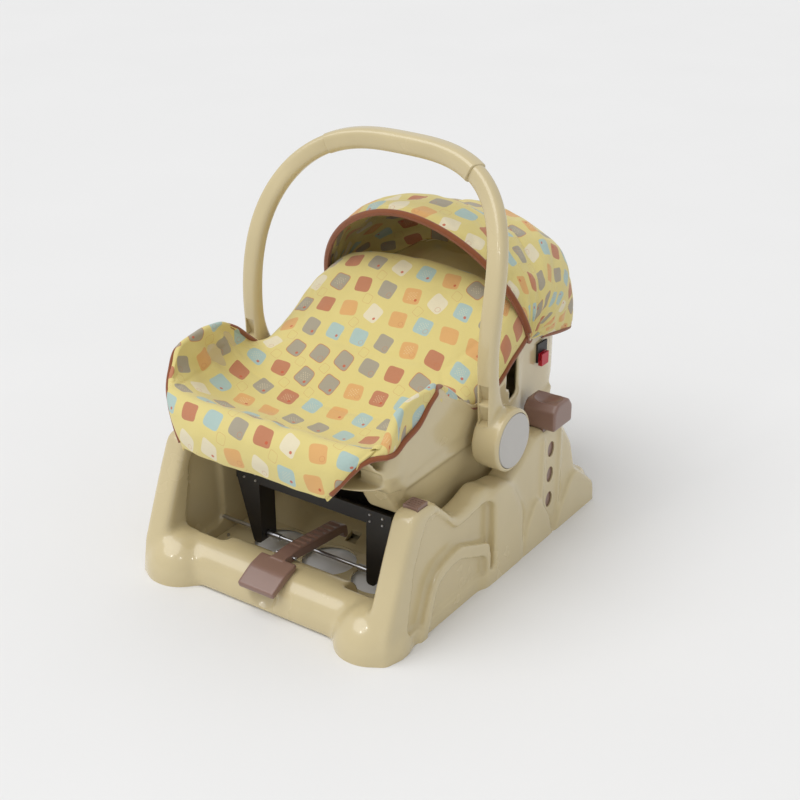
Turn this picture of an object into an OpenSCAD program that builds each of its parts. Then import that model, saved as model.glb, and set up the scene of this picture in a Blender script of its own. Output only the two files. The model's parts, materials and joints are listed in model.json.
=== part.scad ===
// Infant car seat: a rear-facing carrier with a carry handle and a hood, docked on its base.
// Millimetres, +Z up, +X to the carrier's left-hand side as seen from the front, +Y to the head end.
// Inside the modules y is measured from the front of the base. The last lines move every piece
// so that the origin is on the ground under the middle of the whole object.

/* [Overall] */
// Length of the base moulding
base_l = 546; // [530:1:660]
// Length from the front of the base to the back of the hood
overall_l = 606; // [600:1:660]
// Width of the carrier tub at its rim
seat_w = 352; // [300:1:430]
// Height of the handle's pivots above the ground
hub_z = 208; // [204:1:225]
// Distance of the handle's pivots behind the front of the base
hub_y = 285; // [275:1:295]

/* [Base moulding] */
// Thickness of the moulded walls
wall_t = 3; // [2.5:0.1:4]
// Width of each hollow side wall
side_w = 37; // [36:1:48]
// Gap between the tub's rim line and the side wall's inner face, measured inwards
side_under = 8; // [4:1:10]
// Height of the front arches
arch_h = 186; // [170:1:190]
// Height of the rear pillars
pillar_h = 174; // [160:1:178]
// Radius of the front foot bulbs
foot_r = 50; // [44:1:52]
// Height of the front crossmember
cross_h = 54; // [46:1:56]
// Diameter of the round openings in the floor pan
floor_hole_d = 76; // [50:1:78]
// Diameter of the rubber feet
rubber_d = 22; // [14:1:26]

/* [Height posts] */
// Depth of each post along the car
post_d = 42; // [34:1:44]
// Width of each post across the car
post_w = 28; // [24:1:29]
// Spacing of the three height holes
hole_pitch = 40; // [34:1:42]
// Running gap between the post and its socket
post_gap = 0.5; // [0.3:0.1:0.8]
// Height of the cap on each post
cap_h = 38; // [28:1:42]
// Travel of the detent button
detent_travel = 5; // [3:0.5:6]

/* [Latch frame and lever] */
// Diameter of the steel rod that the latch frame turns on
rod_d = 6; // [5:0.5:7]
// Width of the latch frame across its upper corners
latch_w = 260; // [230:1:264]
// Height of the latch frame's bar above the ground
latch_h = 135; // [120:1:140]
// Wall of the latch frame's channel
latch_t = 3; // [2:0.5:4]
// Width of the lever's key-shaped head
lever_head_w = 55; // [44:1:60]
// Width of the lever's shaft
lever_w = 22; // [16:1:26]
// Diameter of the lever's pin
lever_pin_d = 5; // [4:0.5:6]
// Radial clearance of every pin in its bore
pin_clear = 0.05; // [0.02:0.01:0.1]
// Travel of the push buttons on the arches
side_button_travel = 4; // [2:0.5:5]

/* [Carrier] */
// Wall of the carrier tub
shell_t = 5; // [4:0.5:6]
// Height of the tub's side wings
wing_h = 318; // [300:1:325]
// Slope of the backrest above the horizontal
back_angle = 34; // [32:1:36]
// Thickness of the padded cover
pad_t = 12; // [8:1:14]
// Inset of the skids inside the tub's widest part
skid_in = 18; // [16:1:22]

/* [Handle] */
// Gap between the tub and the handle's arms
arm_gap = 4; // [3:0.5:6]
// Width of the handle's section across the car
arm_w = 26; // [22:1:28]
// Depth of the handle's section
arm_d = 22; // [18:1:24]
// Height of the handle's top above its pivots
bow_h = 346; // [330:1:400]
// Diameter of the round hubs
hub_d = 86; // [76:1:88]
// How far the hub stands out past the handle's arm
hub_out = 14; // [12:1:18]
// Diameter of the pivot pins
hub_pin_d = 18; // [14:1:22]
// Travel of the hub buttons
hub_button_travel = 5; // [3:0.5:5]

/* [Hood] */
// Height of the hood's front hoop above its hinge
hood_h = 172; // [150:1:176]
// Thickness of the hood's cloth solid
hood_t = 3; // [2:0.5:4]
// Thickness of the hoop strip
hoop_t = 4; // [3:0.5:5]

/* [Hidden] */
$fn = 64;
cream = [0.80, 0.73, 0.57];
brown = [0.42, 0.28, 0.22];
print_yellow = [0.85, 0.78, 0.48];
rust = [0.52, 0.25, 0.11];

// Half-widths across the car, from the tub outwards.
seat_hw = seat_w / 2;
side_in = seat_hw - side_under;
side_out = side_in + side_w;
skid_hw = seat_hw - skid_in;
arm_in = seat_hw + arm_gap;
arm_out = arm_in + arm_w;
arm_x = (arm_in + arm_out) / 2;
hub_face = arm_out + hub_out;
foot_x = side_out - foot_r + 5;

// The height posts stand in the rear pillars.
post_y = base_l - 131;
post_x = side_in + wall_t + post_gap + 3 + post_w / 2;
post_foot = 18;
post_outer = post_x + post_w / 2;
socket_outer = post_outer + post_gap;
pillar_out = socket_outer + wall_t;
post_travel = 2 * hole_pitch;
low_hole_z = 55;
hole_w = 18;
hole_h = 24;
cap_gap = 1;
cap_in = seat_hw - 4;
cap_w = 50;
cap_d = 50;

// Latch frame on its rod, and the lever in front of it.
rod_y = 148;
rod_z = 31;
latch_front = 134;
latch_d = 36;
latch_channel_h = 21;
latch_foot_in = 89;
latch_foot_out = 103;
latch_foot_z = 20;
lever_y = 78;
lever_z = cross_h + 7;
lug_t = 4;
lug_gap = 0.6;
button_y = 105;
button_x = side_in + side_w / 2;
button_w = 22;
button_l = 22;
button_rise = 3;
button_gap = 0.4;
well_depth = 16;
button_body = 8;
spring_wire = 1.2;

// Backrest: it starts at the crease and rises at back_angle to the head edge.
crease = [190, 231];
back_l = 232;
back_edge_r = 24;
back_drop = 50;
head_y = crease[0] + back_l * cos(back_angle);
head_z = crease[1] + back_l * sin(back_angle);

// Hood hinge on the tub's rim.
hood_y = 406;
hood_z = 297;
hood_lean = 110;
hood_hw = seat_hw - 14;
clip_r = 7;

pan_t = 3;
pan_z = 4;
rubber_h = 4;
rubber_y = [foot_r, base_l - 40];
pan_front = 112;
pan_back = base_l - 96;
hole_y = 170;
screw_d = 4;
screw_y = [140, 260, 390];
tab_t = 5;
deck_front = 210;
deck_back = post_y - 60;
deck_top = 58;

// ---- Outline helpers ----
function unit(v) = v / norm(v);
function turn_left(v) = [-v[1], v[0]];
function at(p, i) = p[(i + len(p)) % len(p)];
function xy(p) = [p[0], p[1]];
// Moves every edge of a closed outline inwards by t; each corner's radius follows.
function inset(p, t) = [for (i = [0 : len(p) - 1])
    let (a = xy(at(p, i - 1)), b = xy(p[i]), c = xy(at(p, i + 1)),
         n = turn_left(unit(b - a)), m = turn_left(unit(c - b)),
         q = b + t * (n + m) / (1 + n * m),
         convex = n * (c - b) > 0)
    [q[0], q[1], p[i][2] == 0 ? 0 : max(1, p[i][2] + (convex ? -t : t))]];
// Turns corners [a, b, radius] into an outline with round corners, with no corner past its edges.
function rounded(p, steps = 6) = [for (i = [0 : len(p) - 1])
    let (b = xy(p[i]), u = unit(xy(at(p, i - 1)) - b), v = unit(xy(at(p, i + 1)) - b),
         half = acos(max(-1, min(1, u * v))) / 2,
         room = 0.49 * min(norm(xy(at(p, i - 1)) - b), norm(xy(at(p, i + 1)) - b)),
         cut = half > 89.5 ? 0 : min(room, p[i][2] / tan(half)), r = cut * tan(half),
         c = b + unit(u + v) * r / sin(half))
    each (cut < 0.05 ? [b] : [for (k = [0 : steps])
        let (s = b + u * cut - c, e = b + v * cut - c, w = k / steps, sweep = 180 - 2 * half)
        c + (s * sin((1 - w) * sweep) + e * sin(w * sweep)) / sin(sweep)])];

// Extrudes a side-view outline, given as (y, z), across the car between x0 and x1.
module across(x0, x1) translate([x0, 0, 0]) rotate([90, 0, 90]) linear_extrude(x1 - x0) children();
// Extrudes a front-view outline, given as (x, z), along the car between y0 and y1.
module along(y0, y1) translate([0, y1, 0]) rotate([90, 0, 0]) linear_extrude(y1 - y0) children();
module both_sides() {
    children();
    mirror([1, 0, 0]) children();
}
module rod_x(x0, x1, y, z, d) translate([x0, y, z]) rotate([0, 90, 0]) cylinder(h = x1 - x0, d = d);
module box(lo, hi) translate(lo) cube(hi - lo);
// A coil spring's closed envelope, standing on the origin.
module coil(h, d) difference() {
    cylinder(h = h, d = d);
    translate([0, 0, -1]) cylinder(h = h + 2, d = d - 2 * spring_wire);
}

// ---- Base ----
wall_outline = [[10, 0, 0], [base_l, 0, 0], [base_l, 22, 18], [base_l - 24, 62, 18],
    [base_l - 48, 64, 20], [base_l - 66, 122, 50], [base_l - 104, pillar_h, 30],
    [base_l - 180, pillar_h, 12], [base_l - 218, 148, 30], [288, 132, 30], [244, 154, 32],
    [212, 142, 24], [176, 138, 30], [126, arch_h - 1, 20], [80, arch_h, 20], [54, 128, 60], [20, 45, 30]];
hump_outline = [[250, 0, 0], [332, 0, 0], [318, 74, 40], [286, 126, 40], [246, 132, 30], [248, 60, 20]];
rim_outline = [[62, 0, 0], [252, 0, 0], [250, 54, 20], [178, 100, 50], [100, 92, 50]];
small_peak = [[base_l - 218, 0, 0], [base_l - 116, 0, 0], [base_l - 142, 34, 20],
    [base_l - 174, 84, 16], [base_l - 204, 40, 30]];
rear_peak = [[base_l - 150, 0, 0], [base_l, 0, 0], [base_l - 8, 30, 20], [base_l - 70, 78, 26],
    [base_l - 104, 30, 24]];
cross_outline = [[26, 0, 0], [106, 0, 0], [102, 36, 16], [86, cross_h - 2, 14],
    [54, cross_h, 16], [30, 32, 20]];
rear_cross = [[base_l - 90, 0, 0], [base_l - 6, 0, 0], [base_l - 12, 40, 20], [base_l - 36, 58, 20],
    [base_l - 74, 56, 20]];
bulge = 5;
foot_rise = 12;
scoop = [0, 16, 26];
scoop_r = 24;

module hollow_wall(p, x0, x1) difference() {
    across(x0, x1) polygon(rounded(p));
    across(x0 + wall_t, x1 - wall_t) polygon(rounded(inset(p, wall_t)));
    box([x0 + wall_t, p[0][0] + 2 * wall_t, -1], [x1 - wall_t, p[1][0] - 2 * wall_t, wall_t + 0.01]);
}
module post_socket() {
    box([side_in, post_y - post_d / 2 - wall_t - 1, 12],
        [pillar_out, post_y + post_d / 2 + wall_t + 1, pillar_h - 1]);
}
module side_wall() {
    hollow_wall(wall_outline, side_in, side_out);
    for (p = [hump_outline, rim_outline, small_peak, rear_peak])
        across(side_out - 1, side_out + bulge) polygon(rounded(p));
    difference() {
        translate([foot_x, foot_r, foot_rise]) sphere(r = foot_r);
        translate([foot_x, foot_r, foot_rise]) sphere(r = foot_r - wall_t);
        box([0, -10, -60], [300, 120, 0]);
    }
    intersection() {
        post_socket();
        across(side_in, pillar_out) polygon(rounded(wall_outline));
    }
}
module button_well(gap) box(
    [button_x - button_w / 2 - gap, button_y - button_l / 2 - gap, arch_h - well_depth],
    [button_x + button_w / 2 + gap, button_y + button_l / 2 + gap, arch_h + 20]);
module base_shell() color(cream) {
    both_sides() difference() {
        union() {
            side_wall();
            intersection() {
                box([side_in, button_y - button_l / 2 - 3, arch_h - well_depth - 3],
                    [side_out, button_y + button_l / 2 + 3, arch_h + 5]);
                across(side_in, side_out) polygon(rounded(wall_outline));
            }
        }
        button_well(button_gap);
        box([post_x - post_w / 2 - post_gap, post_y - post_d / 2 - post_gap, -1],
            [socket_outer, post_y + post_d / 2 + post_gap, 300]);
        for (i = [0 : 2]) translate([socket_outer - 1, post_y, low_hole_z + i * hole_pitch])
            rotate([0, 90, 0]) oval(hole_w, hole_h, 30);
        rod_x(side_in - 1, side_in + wall_t + 1, rod_y, rod_z, rod_d + 2 * pin_clear);
    }
    both_sides() screw_tabs();
    rubber_plates();
    hollow_wall(rear_cross, -side_in, side_in);
    difference() {
        union() {
            hollow_wall(cross_outline, -side_in, side_in);
            intersection() {
                translate(scoop) sphere(r = scoop_r + wall_t);
                across(-40, 40) polygon(rounded(cross_outline));
            }
        }
        translate(scoop) sphere(r = scoop_r);
    }
    both_sides() lever_lug();
}
// An upright oval peg or hole along z: two round ends and a square between them.
module oval(w, h, l) {
    for (s = [-1, 1]) translate([s * (h - w) / 2, 0, 0]) cylinder(h = l, d = w);
    translate([-(h - w) / 2, -w / 2, 0]) cube([h - w, w, l]);
}
module lever_lug() difference() {
    x0 = lever_w / 2 + lug_gap;
    union() {
        rod_x(x0, x0 + lug_t, lever_y, lever_z, 14);
        box([x0, lever_y - 7, cross_h - 5], [x0 + lug_t, lever_y + 7, lever_z]);
    }
    rod_x(x0 - 1, x0 + lug_t + 1, lever_y, lever_z, lever_pin_d);
}
module floor_pan() color(cream) difference() {
    box([-side_in + 0.3, pan_front, pan_z], [side_in - 0.3, pan_back, pan_z + pan_t]);
    for (x = [-1, 0, 1]) translate([x * (floor_hole_d + 8), hole_y, pan_z - 1])
        cylinder(h = pan_t + 2, d = floor_hole_d);
    at_screws() translate([0, 0, pan_z - 1]) cylinder(h = pan_t + 2, d = screw_d + 0.4);
}
module at_screws() both_sides() for (y = screw_y) translate([side_in - 12, y, 0]) children();
module base_screws() color("dimgray") at_screws() translate([0, 0, pan_z - 1.6]) {
    cylinder(h = 1.6, d = 2 * screw_d);
    cylinder(h = pan_t + tab_t, d = screw_d);
}
// Tabs on the walls that the floor pan is screwed up against.
module screw_tabs() for (y = screw_y) difference() {
    box([side_in - 22, y - 9, pan_z + pan_t + 0.2], [side_in + 1, y + 9, pan_z + pan_t + 0.2 + tab_t]);
    translate([side_in - 12, y, 0]) cylinder(h = 30, d = screw_d + 0.4);
}
// The sloping deck behind the latch frame, with the square slot for the lever's hook.
deck_outline = [[deck_front, pan_z + pan_t + 0.3, 0], [deck_back, pan_z + pan_t + 0.3, 0],
    [deck_back, deck_top, 8], [deck_front + 100, deck_top, 30]];
module rear_deck() color(cream) difference() {
    across(-side_in + 8, side_in - 8) polygon(rounded(deck_outline));
    across(-side_in + 8 + wall_t, side_in - 8 - wall_t) translate([0, -wall_t])
        polygon(rounded(inset(deck_outline, wall_t)));
    box([-side_in + 12, deck_front + 14, 0], [side_in - 12, deck_back - 4, pan_z + pan_t + 4]);
    box([-9, deck_front + 8, 0], [9, deck_front + 26, deck_top + 2]);
    both_sides() for (y = screw_y) box([side_in - 23, y - 10, 0], [side_in, y + 10, pan_z + pan_t + tab_t + 1]);
}
module at_rubber_feet() both_sides() for (y = rubber_y) translate([side_in + side_w / 2, y, 0]) children();
module rubber_feet() color([0.15, 0.15, 0.15]) at_rubber_feet() difference() {
    cylinder(h = rubber_h, d = rubber_d);
    translate([0, 0, -1]) cylinder(h = 1.6, d = rubber_d - 10);
}
// Plates inside the side walls that the rubber feet are stuck to.
module rubber_plates() at_rubber_feet() translate([-side_w / 2 + 1, -rubber_d / 2 - 2, rubber_h])
    cube([side_w - 2, rubber_d + 4, wall_t]);
module support_rod() color("silver")
    rod_x(-side_in - wall_t + 0.5, side_in + wall_t - 0.5, rod_y, rod_z, rod_d);

// ---- Latch frame ----
leg_outline = [[latch_foot_in, latch_foot_z, 6], [latch_foot_out, latch_foot_z, 6],
    [latch_w / 2, latch_h - latch_channel_h + 6, 6], [latch_w / 2 - 40, latch_h - latch_channel_h + 6, 0]];
module latch_frame() color([0.06, 0.06, 0.06]) {
    difference() {
        box([-latch_w / 2, latch_front, latch_h - latch_channel_h],
            [latch_w / 2, latch_front + latch_d, latch_h]);
        box([-latch_w / 2 + latch_t, latch_front + latch_t, latch_h - latch_channel_h + latch_t],
            [latch_w / 2 - latch_t, latch_front + latch_d - latch_t, latch_h + 1]);
    }
    both_sides() difference() {
        along(latch_front, latch_front + latch_d - 4) polygon(rounded(leg_outline));
        along(latch_front + latch_t, latch_front + latch_d) polygon(rounded(inset(leg_outline, latch_t)));
        rod_x(latch_foot_in - 10, latch_w / 2, rod_y, rod_z, rod_d + 2 * pin_clear);
    }
}
module latch_springs() color("silver") both_sides() difference() {
    rod_x(latch_foot_in - 22, latch_foot_in - 1, rod_y, rod_z, rod_d + 2 * spring_wire + 1);
    rod_x(latch_foot_in - 23, latch_foot_in, rod_y, rod_z, rod_d + 1);
}

// ---- Lever ----
shaft_outline = [[58, lever_z - 4, 2], [70, lever_z - 7, 3], [88, lever_z - 7, 3], [150, 47, 10],
    [188, 44, 2], [191, 42, 2], [193, 35, 1], [198, 33, 2], [201, 38, 3], [198, 53, 6], [188, 58, 4],
    [90, lever_z + 7, 10], [58, lever_z + 5, 2]];
head_outline = [[19, 40, 2], [62, lever_z - 2, 2], [62, lever_z + 5, 2], [18, 46, 2]];
module release_lever() color(brown) difference() {
    union() {
        across(-lever_w / 2, lever_w / 2) polygon(rounded(shaft_outline));
        across(-lever_head_w / 2, lever_head_w / 2) polygon(rounded(head_outline));
    }
    across(-lever_w / 2 + 3.5, lever_w / 2 - 3.5)
        polygon([[72, 80], [72, lever_z - 5], [92, lever_z - 5], [180, 51], [180, 80]]);
    rod_x(-lever_w, lever_w, lever_y, lever_z, lever_pin_d + 2 * pin_clear);
}
module lever_pin() color("silver") rod_x(-lever_w / 2 - lug_gap - lug_t, lever_w / 2 + lug_gap + lug_t,
    lever_y, lever_z, lever_pin_d);
module lever_spring() color("silver") difference() {
    rod_x(-lever_w / 2 + 4, lever_w / 2 - 4, lever_y, lever_z, lever_pin_d + 0.6 + 2 * spring_wire);
    rod_x(-lever_w, lever_w, lever_y, lever_z, lever_pin_d + 0.6);
}

// ---- Side buttons ----
module side_button(side) color(brown) {
    top = arch_h + button_rise;
    floor_z = top - side_button_travel - button_body;
    translate([side * button_x, button_y, 0]) difference() {
        box([-button_w / 2, -button_l / 2, floor_z], [button_w / 2, button_l / 2, top]);
        for (i = [-2 : 2]) translate([0, i * 4.6, top]) rotate([0, 90, 0])
            cylinder(h = button_w - 6, d = 2.4, center = true, $fn = 24);
    }
}
module side_button_left() side_button(1);
module side_button_right() side_button(-1);
module button_spring(side) color("silver") translate([side * button_x, button_y, arch_h - well_depth])
    coil(well_depth + button_rise - side_button_travel - button_body, 12);
module button_spring_left() button_spring(1);
module button_spring_right() button_spring(-1);

// ---- Height posts ----
post_top = pillar_h + cap_gap;
module post(side) color(brown) translate([side * post_x, post_y, 0]) difference() {
    box([-post_w / 2, -post_d / 2, post_foot], [post_w / 2, post_d / 2, post_top]);
    box([-post_w / 2 + 4, -post_d / 2 + 4, post_foot - 1], [post_w / 2 - 4, post_d / 2 - 4, post_top - 12]);
    translate([side > 0 ? -1 : -post_w, 0, low_hole_z]) rotate([0, 90, 0])
        oval(hole_w - 2 + 0.4, hole_h - 2 + 0.4, post_w + 1);
}
module post_left() post(1);
module post_right() post(-1);
cap_outline = [[-cap_d / 2, 0, 4], [cap_d / 2, 0, 4], [cap_d / 2, cap_h * 0.62, 10],
    [cap_d / 2 - 12, cap_h, 10], [-cap_d / 2 + 8, cap_h, 10], [-cap_d / 2, cap_h * 0.7, 8]];
module post_cap(side) color(brown) translate([0, post_y, post_top]) {
    x0 = side > 0 ? cap_in : -cap_in - cap_w;
    difference() {
        across(x0, x0 + cap_w) polygon(rounded(cap_outline));
        translate([side * (cap_in + cap_w / 2), 0, cap_h + 52]) sphere(r = 56);
        across(x0 + 3, x0 + cap_w - 3) translate([0, -1]) polygon(rounded(inset(cap_outline, 7)));
    }
}
module post_cap_left() post_cap(1);
module post_cap_right() post_cap(-1);
detent_l = 10;
module detent_button(side) color(brown)
    translate([side * (post_outer - (side > 0 ? detent_l : 0)), post_y, low_hole_z])
        rotate([0, 90, 0]) oval(hole_w - 2, hole_h - 2, detent_l);
module detent_button_left() detent_button(1);
module detent_button_right() detent_button(-1);
module detent_spring(side) color("silver")
    translate([side * (post_x - post_w / 2 + 4), post_y, low_hole_z])
        rotate([0, side * 90, 0]) coil(post_w - 4 - detent_l - detent_travel - 0.5, 9);
module detent_spring_left() detent_spring(1);
module detent_spring_right() detent_spring(-1);

// ---- Carrier ----
// Side view of the tub: the front lip, the belly, the back and the rim.
tub_outline = [[16, 208, 12], [92, 212, 8], [118, 178, 40], [180, 153, 60], [300, 148, 80],
    [400, 166, 80], [500, 192, 16], [544, 236, 40], [576, 300, 40], [556, 346, 30], [470, 366, 40],
    [head_y + 2, head_z + 2, 10], [356, 280, 0], [318, 262, 40], [258, 258, 30], [176, wing_h, 24],
    [92, wing_h, 26], [60, 278, 24], [16, 278, 22]];
// Side view of the two skids that the carrier rocks on: below the belly, curved like a sledge.
skid_outline = [[92, 214, 4], [104, 172, 30], [142, 128, 50], [265, 101, 110], [360, 117, 70],
    [494, 172, 6], [498, 192, 3], [400, 171, 70], [300, 152, 80], [180, 157, 60], [121, 182, 30], [104, 214, 4]];
skid_t = 8;
plan_outline = [[-seat_hw + 14, 16, 60], [seat_hw - 14, 16, 60], [seat_hw, 92, 60], [seat_hw, 330, 90],
    [seat_hw - 14, 400, 90], [seat_hw - 24, 520, 90], [60, 590, 120], [-60, 590, 120],
    [-seat_hw + 24, 520, 90], [-seat_hw + 14, 400, 90], [-seat_hw, 330, 90], [-seat_hw, 92, 60]];
front_outline = [[-skid_hw + 6, 90, 0], [skid_hw - 6, 90, 0], [skid_hw, 150, 40], [seat_hw - 4, 226, 60],
    [seat_hw, 270, 40], [seat_hw, 330, 0], [-seat_hw, 330, 0], [-seat_hw, 270, 40],
    [-seat_hw + 4, 226, 60], [-skid_hw, 150, 40]];
head_outline_x = [[-seat_hw, 90, 0], [seat_hw, 90, 0], [seat_hw, 290, 10], [seat_hw - 26, 312, 30],
    [seat_hw - 76, 342, 60], [0, 372, 200], [-seat_hw + 76, 342, 60], [-seat_hw + 26, 312, 30], [-seat_hw, 290, 10]];
pan_line = [[38, 280], [60, 246], [115, 221], crease];
module tub(t) intersection() {
    across(-seat_hw, seat_hw) polygon(rounded(inset(tub_outline, t)));
    translate([0, 0, 80]) linear_extrude(320) polygon(rounded(inset(plan_outline, t)));
    union() {
        along(0, 352) polygon(rounded(inset(front_outline, t)));
        intersection() {
            along(350, 620) polygon(rounded(inset(head_outline_x, t)));
            along(350, 620) polygon(concat([[-skid_hw + 6 + t, 90 + t], [skid_hw - 6 - t, 90 + t]],
                [[seat_hw - t, 226], [seat_hw - t, 400], [-seat_hw + t, 400], [-seat_hw + t, 226]]));
        }
    }
}
// The space between the tub's walls, t inside their outer faces, open to the top in front of the head.
module inside_walls(t) intersection() {
    translate([0, 0, 80]) linear_extrude(400) polygon(rounded(inset(plan_outline, t)));
    union() {
        along(0, 350) polygon(rounded(inset(front_outline, t)));
        along(0, 350) translate([t - seat_hw, 300]) square([seat_w - 2 * t, 200]);
        along(349, 620) polygon(rounded(inset(head_outline_x, t)));
    }
}
// Skin of the backrest in the frame tilted with it: an arch with round long edges, from n0 to n1
// above the back line, hw wide each way, and drop deep down its sides.
module back_arch(n0, n1, hw, drop, y0, y1) translate([0, crease[0], crease[1]])
    rotate([back_angle, 0, 0]) along(y0, y1) difference() {
        polygon(rounded([[-hw, -drop, 0], [hw, -drop, 0], [hw, n1, back_edge_r], [-hw, n1, back_edge_r]]));
        polygon(rounded([[-hw + n1 - n0, -drop - 9, 0], [hw - n1 + n0, -drop - 9, 0],
            [hw - n1 + n0, n0, back_edge_r - n1 + n0], [-hw + n1 - n0, n0, back_edge_r - n1 + n0]]));
    }
function lift(p, t) = [for (q = p) q + [0, t]];
function reversed(p) = [for (i = [len(p) - 1 : -1 : 0]) p[i]];
// A strip of thickness t1 - t0 that follows the seat pan from side to side.
module pan_strip(t0, t1, hw) intersection() {
    across(-hw, hw) polygon(concat(lift(pan_line, t0), reversed(lift(pan_line, t1))));
    translate([0, 0, 80]) linear_extrude(420) polygon(rounded(inset(plan_outline, seat_hw - hw)));
}
web_hw = seat_hw - shell_t - 0.6 - pad_t;
module seat_shell() color(cream) {
    difference() {
        tub(0);
        tub(shell_t);
        // the open top between the lip and the head edge
        across(-seat_hw + shell_t, seat_hw - shell_t) polygon(concat(lift(pan_line, 0),
            [[crease[0] + 60, crease[1] - 6], [head_y, crease[1] - 6], [head_y, 500], [38, 500]]));
        both_sides() rod_x(skid_hw - 20, seat_hw + 1, hub_y, hub_z, boss_d);
    }
    both_sides() across(skid_hw - skid_t, skid_hw) polygon(rounded(skid_outline));
    pan_strip(-shell_t, 0, seat_hw - shell_t + 0.5);
    intersection() {
        back_arch(-shell_t, 0, web_hw, back_drop, -2, back_l + 12);
        inside_walls(0);
    }
}
module seat_pad() color(print_yellow) difference() {
    pan_strip(0.4, pad_t, seat_hw - shell_t - 0.6);
    box([-seat_hw, crease[0] - pad_t, 0], [seat_hw, 300, 500]);
}
// The pad stops short of the hood's hoop and stays inside the tub's walls.
module back_pad() color(print_yellow) intersection() {
    back_arch(0.4, pad_t, web_hw + pad_t, back_drop, pad_t + 1, back_l - 18);
    inside_walls(shell_t + 0.6);
}
boss_d = 40;
module hub_bosses() color(cream) both_sides() difference() {
    rod_x(skid_hw, arm_in - 0.5, hub_y, hub_z, boss_d - 0.6);
    rod_x(skid_hw + 6, seat_hw + 9, hub_y, hub_z, hub_pin_d + 0.2);
}
pin_end = arm_out - 3;
module hub_pins() color("silver") both_sides() rod_x(skid_hw + 6.5, pin_end, hub_y, hub_z, hub_pin_d);
guide_x = seat_hw - 16.4;
module belt_guide_plates() color([0.08, 0.08, 0.08]) both_sides()
    box([guide_x - 1, 444, 244], [guide_x + 1.6, 470, 272]);
module belt_guides() color([0.75, 0.06, 0.12]) both_sides() difference() {
    box([guide_x + 1.9, 446, 240], [guide_x + 8, 464, 258]);
    box([guide_x + 3.6, 440, 248], [guide_x + 5.6, 470, 270]);
}
hinge_pin_d = 5;
eye_in = hood_hw + 4;
module hood_clips() color(cream) both_sides() {
    rod_x(hood_hw + 0.6, hood_hw + 3.6, hood_y, hood_z, 2 * clip_r);
    rod_x(hood_hw + 3, eye_in + hoop_t + 0.4, hood_y, hood_z, hinge_pin_d);
}

// ---- Handle ----
arch_z = 146;
arch_n = 2.95;
section_n = 0.6;
core = 0.62;
seam_x = 91;
// Centre line for s from -1 to 1: straight arms, then a superellipse; y bows forward, then back.
function sgn(v) = v < 0 ? -1 : 1;
function bow_x(a) = (arm_x) * sgn(cos(a)) * pow(abs(cos(a)), 2 / arch_n);
function bow_z(a) = hub_z + arch_z + (bow_h - arch_z) * pow(max(0, sin(a)), 2 / arch_n);
function bow_y(z) = let (t = (z - hub_z) / bow_h) hub_y - 2 - 143.5 * t + 215 * t * t;
function on_bow(x, z) = [x, bow_y(z), z];
arm_zs = [for (k = [0 : 6]) hub_z + 16 + k * (arch_z - 16) / 7];
bow_line = concat([for (z = arm_zs) on_bow(arm_x, z)],
    [for (k = [0 : 36]) let (a = 180 * (k + 0.02 * (18 - k) / 18) / 36) on_bow(bow_x(a), bow_z(a))],
    [for (z = reversed(arm_zs)) on_bow(-arm_x, z)]);
// The arm is deep at the hub and narrows to its plain section in the first part of its height.
function depth_at(z) = arm_d + (hub_d * 0.8 - arm_d) * pow(max(0, 1 - (z - hub_z) / 92), 1.6);
function ring(p, i, w, d, m = 16) = let (
    t = unit(p[min(i + 1, len(p) - 1)] - p[max(i - 1, 0)]),
    side = unit(cross(t, [0, 1, 0])), deep = unit(cross(side, t)))
    [for (k = [0 : m - 1]) let (a = 360 * (k + 0.5) / m)
        p[i] + side * (w / 2) * sgn(cos(a)) * pow(abs(cos(a)), section_n)
             + deep * (d / 2) * sgn(sin(a)) * pow(abs(sin(a)), section_n)];
module sweep(rings) {
    m = len(rings[0]);
    n = len(rings);
    polyhedron(points = [for (r = rings) each r], convexity = 6, faces = concat(
        [[for (k = [0 : m - 1]) m - 1 - k]], [[for (k = [0 : m - 1]) (n - 1) * m + k]],
        [for (i = [0 : n - 2]) for (k = [0 : m - 1]) let (j = (k + 1) % m)
            each [[i * m + k, i * m + j, (i + 1) * m + k], [i * m + j, (i + 1) * m + j, (i + 1) * m + k]]]));
}
function in_grip(p) = abs(p[0]) < seam_x;
module handle_bow() color(cream) difference() {
    union() {
        sweep([for (i = [0 : len(bow_line) - 1]) let (k = in_grip(bow_line[i]) ? core : 1)
            ring(bow_line, i, arm_w * k, depth_at(bow_line[i][2]) * k)]);
        both_sides() rod_x(arm_in, hub_face, hub_y, hub_z, hub_d);
    }
    both_sides() {
        rod_x(arm_in - 1, arm_out, hub_y, hub_z, hub_pin_d + 2 * pin_clear);
        rod_x(recess_floor, hub_face + 1, hub_y, hub_z, hub_d - 10);
    }
}
recess_floor = arm_out - 2;
grip_line = [for (p = bow_line) if (in_grip(p)) p];
module handle_grip() color(cream) difference() {
    sweep([for (i = [0 : len(grip_line) - 1]) ring(grip_line, i, arm_w + 2, arm_d + 6)]);
    sweep([for (i = [0 : len(bow_line) - 1]) ring(bow_line, i, arm_w * core + 0.8, arm_d * core + 0.8)]);
}
button_stem = 6;
module hub_button(side) color([0.72, 0.71, 0.69]) {
    x0 = side > 0 ? hub_face - 4 : -hub_face - 2;
    s0 = side > 0 ? hub_face - 4 - button_stem : -hub_face + 4 - 0.1;
    rod_x(x0, x0 + 6, hub_y, hub_z, hub_d - 11);
    rod_x(s0, s0 + button_stem + 0.1, hub_y, hub_z, 30);
}
module hub_button_left() hub_button(1);
module hub_button_right() hub_button(-1);
module hub_springs() color("silver") both_sides() difference() {
    rod_x(recess_floor, hub_face - 4.4 - hub_button_travel, hub_y, hub_z, 56);
    rod_x(recess_floor - 1, hub_face, hub_y, hub_z, 56 - 2 * spring_wire);
}

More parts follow.
